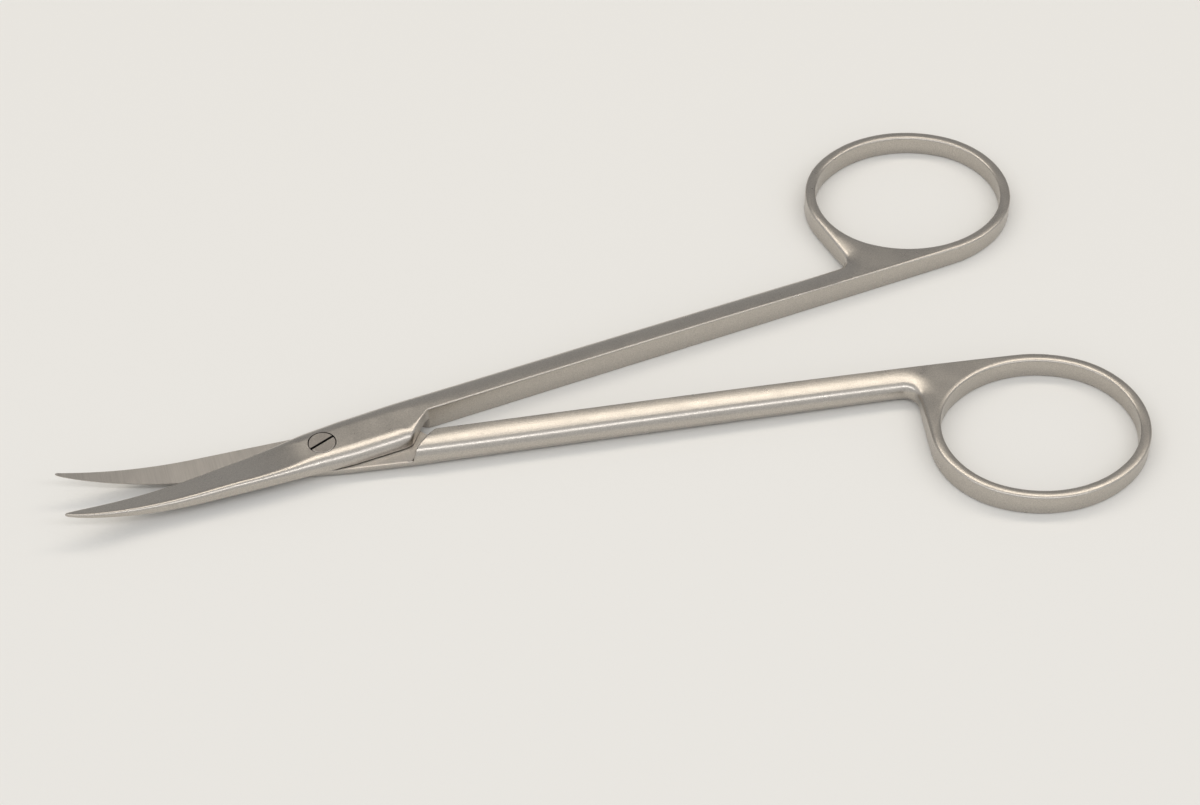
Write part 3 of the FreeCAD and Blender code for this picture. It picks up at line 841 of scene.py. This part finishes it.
def gap_painted_shade(name):
    """Dark steel for the narrow gaps round the screw: painted shade that gives the thin dark lines of the
    seat and the slot.

    Its roughness varies in patches of 0.4 mm.
    """
    material, tree = new_material(name)
    place = node(tree, "ShaderNodeTexCoord").outputs["Object"]
    patch = node(tree, "ShaderNodeTexNoise", {"Scale": 1 / mm(0.4), "Detail": 2.0}, {"Vector": place})
    rough = node(tree, "ShaderNodeMapRange", {**NOISE_SPAN, "To Min": 0.6, "To Max": 0.8},
                 {"Value": patch.outputs["Fac"]})
    # The dark base colour is painted shade for the gaps, not the colour of the steel
    shader = node(tree, "ShaderNodeBsdfPrincipled", {"Base Color": linear("#34312E"), "Metallic": 0.6},
                  {"Roughness": rough.outputs["Result"]})
    node(tree, "ShaderNodeOutputMaterial", (), {"Surface": shader.outputs["BSDF"]})
    return material


def table_paper(name, colour):
    """Matt paper: pale, with no texture that the eye can find."""
    material, tree = new_material(name)
    shader = node(tree, "ShaderNodeBsdfPrincipled",
                  {"Base Color": linear(colour), "Roughness": 0.9, "Specular IOR Level": 0.2})
    node(tree, "ShaderNodeOutputMaterial", (), {"Surface": shader.outputs["BSDF"]})
    return material


# Operators

class SCISSORS_OT_lower_half(bpy.types.Operator):
    """Build the half with the near ring, whose lap lies below"""
    bl_idname = "scissors.lower_half"
    bl_label = "Lower half"

    def execute(self, context):
        s = millimetres()
        colours = context.scene.scissors_colours
        materials = [blasted_steel("blasted_stainless_lower", colours.steel),
                     ground_steel("ground_stainless_lower", colours.ground)]
        mesh = half_mesh("lower_half_dressed", s, False, LOWER_BACK, materials)
        bore = THREAD + THREAD_GAP
        wide, top = bore + END_CHAMFER, s["thickness"]
        profile = [(0, -1), (wide, -1), (wide, 0), (bore, END_CHAMFER), (bore, top), (0, top)]
        mesh = drilled(mesh, bore_cutter(profile, materials[0]))
        show_piece("lower_half_dressed", mesh, "lower", "lower_half")
        return {"FINISHED"}


class SCISSORS_OT_upper_half(bpy.types.Operator):
    """Build the half with the far ring, whose lap lies on top and holds the screw's head"""
    bl_idname = "scissors.upper_half"
    bl_label = "Upper half"

    def execute(self, context):
        s = millimetres()
        colours = context.scene.scissors_colours
        materials = [blasted_steel("blasted_stainless_upper", colours.steel),
                     ground_steel("ground_stainless_upper", colours.ground)]
        mesh = half_mesh("upper_half_dressed", s, True, UPPER_BACK, materials)
        top = s["thickness"]
        seat, neck = s["screw_head"] / 2 + HEAD_GAP, NECK + NECK_GAP
        floor = top - HEAD_HEIGHT - SEAT_GAP
        profile = [(0, 1), (neck, 1), (neck, floor), (seat, floor), (seat, top + 1), (0, top + 1)]
        # The walls of the seat round the head get painted shade: a dark material for the dark ring there
        mesh = drilled(mesh, bore_cutter(profile, gap_painted_shade("seat_painted_shade")))
        show_piece("upper_half_dressed", mesh, "upper", "upper_half")
        return {"FINISHED"}


class SCISSORS_OT_pivot_screw(bpy.types.Operator):
    """Build the slotted pivot screw"""
    bl_idname = "scissors.pivot_screw"
    bl_label = "Pivot screw"

    def execute(self, context):
        colours = context.scene.scissors_colours
        # The second material is painted shade for the slot's dark line
        materials = [blasted_steel("turned_stainless_screw", colours.screw), gap_painted_shade("slot_painted_shade")]
        mesh = screw_mesh(millimetres(), materials)
        show_piece("pivot_screw_dressed", mesh, "lower", "pivot_screw")
        return {"FINISHED"}


# The camera's angles in degrees, the point it looks at and its distance in millimetres, and its focal
# length as a share of the width of the view
CAMERA_AZIMUTH, CAMERA_ELEVATION, CAMERA_ROLL = -17.56, 46.08, 0.40
CAMERA_TARGET, CAMERA_DISTANCE = (32.59, -3.27, 3.3), 336.5
FOCAL_SHARE = 2874.5 / 1200
# Strength of the room's light from the front and sides, from behind the scissors, and what the
# horizon behind them adds
ROOM_LEVEL, BEHIND_LEVEL, HORIZON_LEVEL = 0.66, 0.28, 0.16
TABLE_HALF_WIDTH = 3.0


def away_from_camera():
    """The level unit vector that points the way the camera looks."""
    azimuth = math.radians(CAMERA_AZIMUTH)
    return Vector((-math.sin(azimuth), math.cos(azimuth), 0))


def lamp(name, width, length, power, colour, tilt_back, distance, target):
    """A soft rectangular lamp over the target, leaning away from the camera by tilt_back degrees."""
    data = bpy.data.lights.new(name, "AREA")
    data.shape = "RECTANGLE"
    data.size, data.size_y = length, width
    data.energy = power
    data.color = linear(colour)[:3]
    item = bpy.data.objects.new(name, data)
    bpy.context.scene.collection.objects.link(item)
    lean = math.radians(tilt_back)
    away = away_from_camera()
    direction = away * math.sin(lean) + UP * math.cos(lean)
    across = away.cross(UP)
    side = direction.cross(across)
    spot = target + direction * distance
    item.matrix_world = Matrix((
        (across.x, side.x, direction.x, spot.x), (across.y, side.y, direction.y, spot.y),
        (across.z, side.z, direction.z, spot.z), (0, 0, 0, 1)))
    return item


class SCISSORS_OT_stage(bpy.types.Operator):
    """Lay out the table, the soft lamps and the camera"""
    bl_idname = "scissors.stage"
    bl_label = "Table, lamps and camera"

    def execute(self, context):
        scene = context.scene
        # A table far wider than the view
        size = TABLE_HALF_WIDTH
        mesh = bpy.data.meshes.new("table")
        corners = np.array([(-size, -size, 0), (size, -size, 0), (size, size, 0), (-size, size, 0)])
        mesh.from_pydata(corners.tolist(), [], [(0, 1, 2, 3)])
        mesh.materials.append(table_paper("matt_paper", scene.scissors_colours.table))
        table = bpy.data.objects.new("table", mesh)
        scene.collection.objects.link(table)
        # Room light: pale walls, and a greyer one behind the scissors for the flat faces to show
        world = bpy.data.worlds.new("room")
        world.use_nodes = True
        tree = world.node_tree
        tree.nodes.clear()
        heading = node(tree, "ShaderNodeTexCoord").outputs["Generated"]
        behind = node(tree, "ShaderNodeVectorMath", {"operation": "DOT_PRODUCT", 1: away_from_camera()},
                      {0: heading})
        level = node(tree, "ShaderNodeMapRange",
                     {"From Min": 0.15, "From Max": 0.65, "To Min": ROOM_LEVEL, "To Max": BEHIND_LEVEL},
                     {"Value": behind.outputs["Value"]})
        horizon = node(tree, "ShaderNodeMapRange",
                       {"From Min": 0.7, "From Max": 1.0, "To Min": 0.0, "To Max": HORIZON_LEVEL},
                       {"Value": behind.outputs["Value"]})
        total = node(tree, "ShaderNodeMath", {"operation": "ADD"},
                     {0: level.outputs["Result"], 1: horizon.outputs["Result"]})
        sky = node(tree, "ShaderNodeBackground", {"Color": linear("#FFFFFF")},
                   {"Strength": total.outputs["Value"]})
        node(tree, "ShaderNodeOutputWorld", (), {"Surface": sky.outputs["Background"]})
        scene.world = world
        target = Vector((mm(30), 0, 0))
        lamp("overhead_softbox", width=0.13, length=1.2, power=1.5, colour="#FFF6E8", tilt_back=24,
             distance=0.6, target=target)
        lamp("front_strip", width=0.06, length=1.2, power=1.2, colour="#FFFFFF", tilt_back=-32,
             distance=0.6, target=target)
        # Camera
        azimuth, elevation, roll = (math.radians(angle) for angle in
                                    (CAMERA_AZIMUTH, CAMERA_ELEVATION, CAMERA_ROLL))
        back = Vector((math.sin(azimuth) * math.cos(elevation), -math.cos(azimuth) * math.cos(elevation),
                       math.sin(elevation)))
        right = (-back).cross(UP).normalized()
        above = right.cross(-back)
        across = right * math.cos(roll) + above * math.sin(roll)
        above = above * math.cos(roll) - right * math.sin(roll)
        spot = Vector(mm(value) for value in CAMERA_TARGET) + back * mm(CAMERA_DISTANCE)
        data = bpy.data.cameras.new("camera")
        data.sensor_width = 36
        data.lens = FOCAL_SHARE * data.sensor_width
        data.clip_start = 0.01
        camera = bpy.data.objects.new("camera", data)
        camera.matrix_world = Matrix((
            (across.x, above.x, back.x, spot.x), (across.y, above.y, back.y, spot.y),
            (across.z, above.z, back.z, spot.z), (0, 0, 0, 1)))
        scene.collection.objects.link(camera)
        scene.camera = camera
        scene.view_settings.view_transform = "Standard"
        return {"FINISHED"}


class SCISSORS_PT_panel(bpy.types.Panel):
    """The sizes, the colours and a button for each piece"""
    bl_idname = "SCISSORS_PT_panel"
    bl_label = "Dissecting scissors"
    bl_space_type = "VIEW_3D"
    bl_region_type = "UI"
    bl_category = "Scissors"

    def draw(self, context):
        column = self.layout.column()
        for settings in (context.scene.scissors_sizes, context.scene.scissors_colours):
            for name in type(settings).__annotations__:
                column.prop(settings, name)
        for operator in OPERATORS:
            column.operator(operator.bl_idname)


OPERATORS = (SCISSORS_OT_lower_half, SCISSORS_OT_upper_half, SCISSORS_OT_pivot_screw, SCISSORS_OT_stage)
CLASSES = (ScissorsSizes, ScissorsColours) + OPERATORS + (SCISSORS_PT_panel,)


def register():
    """Makes the settings, the operators and the panel known to Blender."""
    for item in CLASSES:
        bpy.utils.register_class(item)
    bpy.types.Scene.scissors_sizes = PointerProperty(type=ScissorsSizes)
    bpy.types.Scene.scissors_colours = PointerProperty(type=ScissorsColours)


def unregister():
    """Takes them away again."""
    del bpy.types.Scene.scissors_colours
    del bpy.types.Scene.scissors_sizes
    for item in reversed(CLASSES):
        bpy.utils.unregister_class(item)


def main():
    """Builds every piece and the stage."""
    register()
    bpy.ops.scissors.lower_half()
    bpy.ops.scissors.upper_half()
    bpy.ops.scissors.pivot_screw()
    bpy.ops.scissors.stage()


if __name__ == "__main__":
    main()
